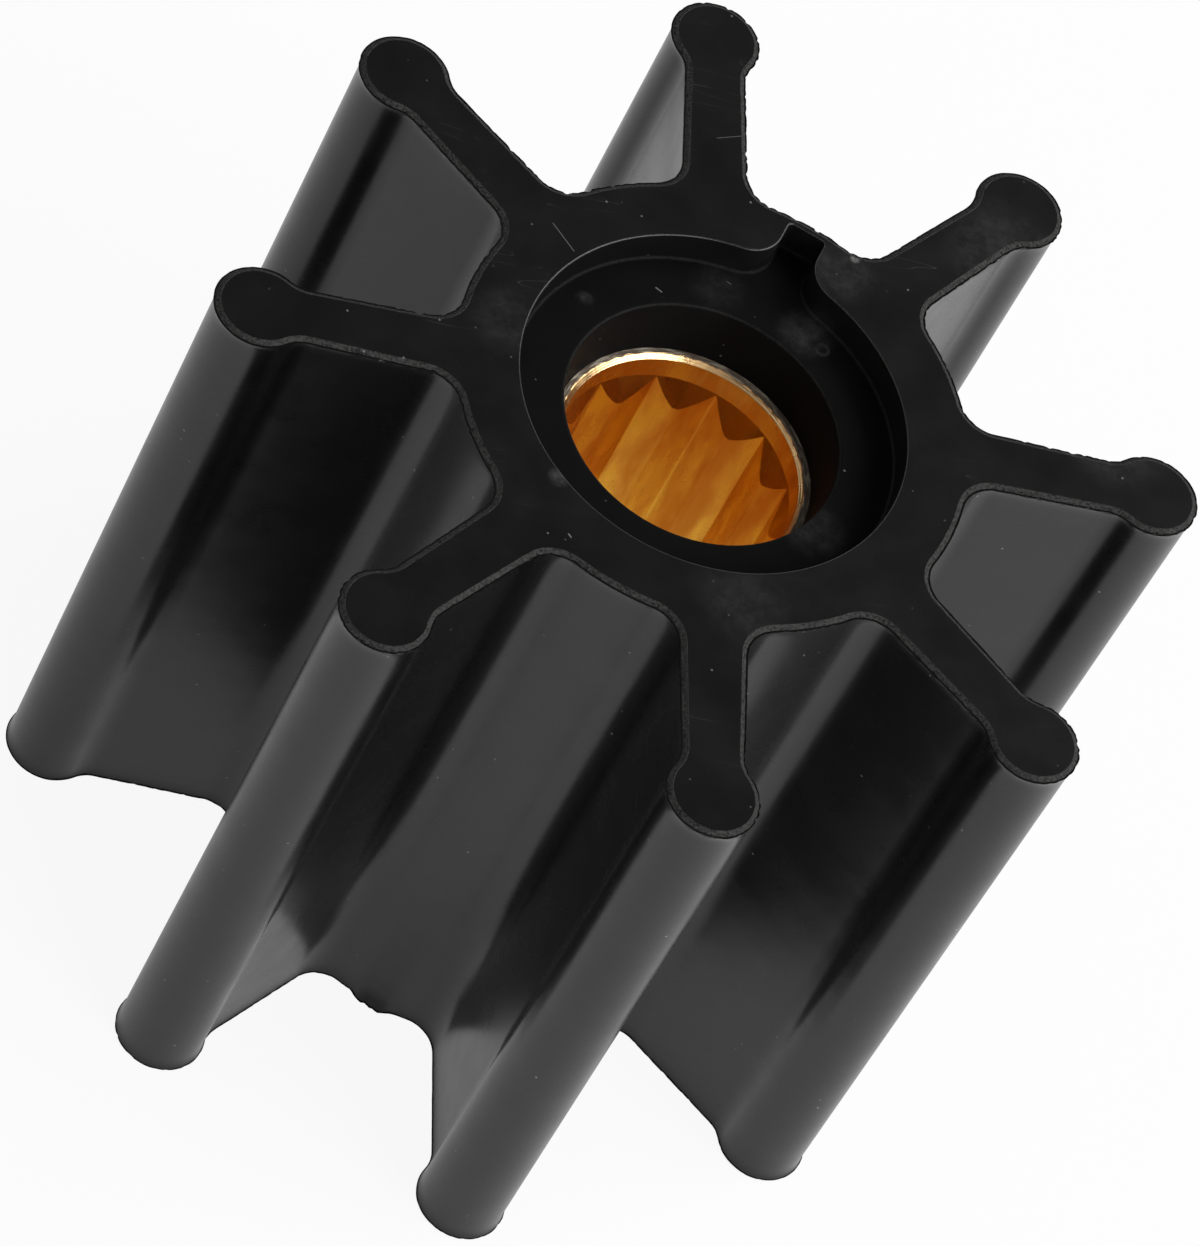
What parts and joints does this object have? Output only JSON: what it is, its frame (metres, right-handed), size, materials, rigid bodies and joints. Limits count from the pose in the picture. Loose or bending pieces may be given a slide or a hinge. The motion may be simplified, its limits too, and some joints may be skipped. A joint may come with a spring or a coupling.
{
  "type": "flexible pump impeller",
  "caption": "Flexible rubber pump impeller with bead-tipped blades, a recess and notch in each end face, and a bonded brass bushing with a V-grooved spline.",
  "frame": {"origin": "centre of the lower end face, on the shaft axis", "axes": "+Z along the shaft axis, towards the end with the gate marks; +X and +Y each along a blade"},
  "size_m": [0.0654, 0.0654, 0.0508],
  "materials": {
    "rubber": "moulded black rubber, satin, with flash lips at both ends",
    "bushing_brass": "turned mouth and broached grooves, lightly tarnished"
  },
  "bodies": {
    "root": {"rubber_body": "rubber", "splined_bushing": "bushing_brass"}
  },
  "joints": []
}
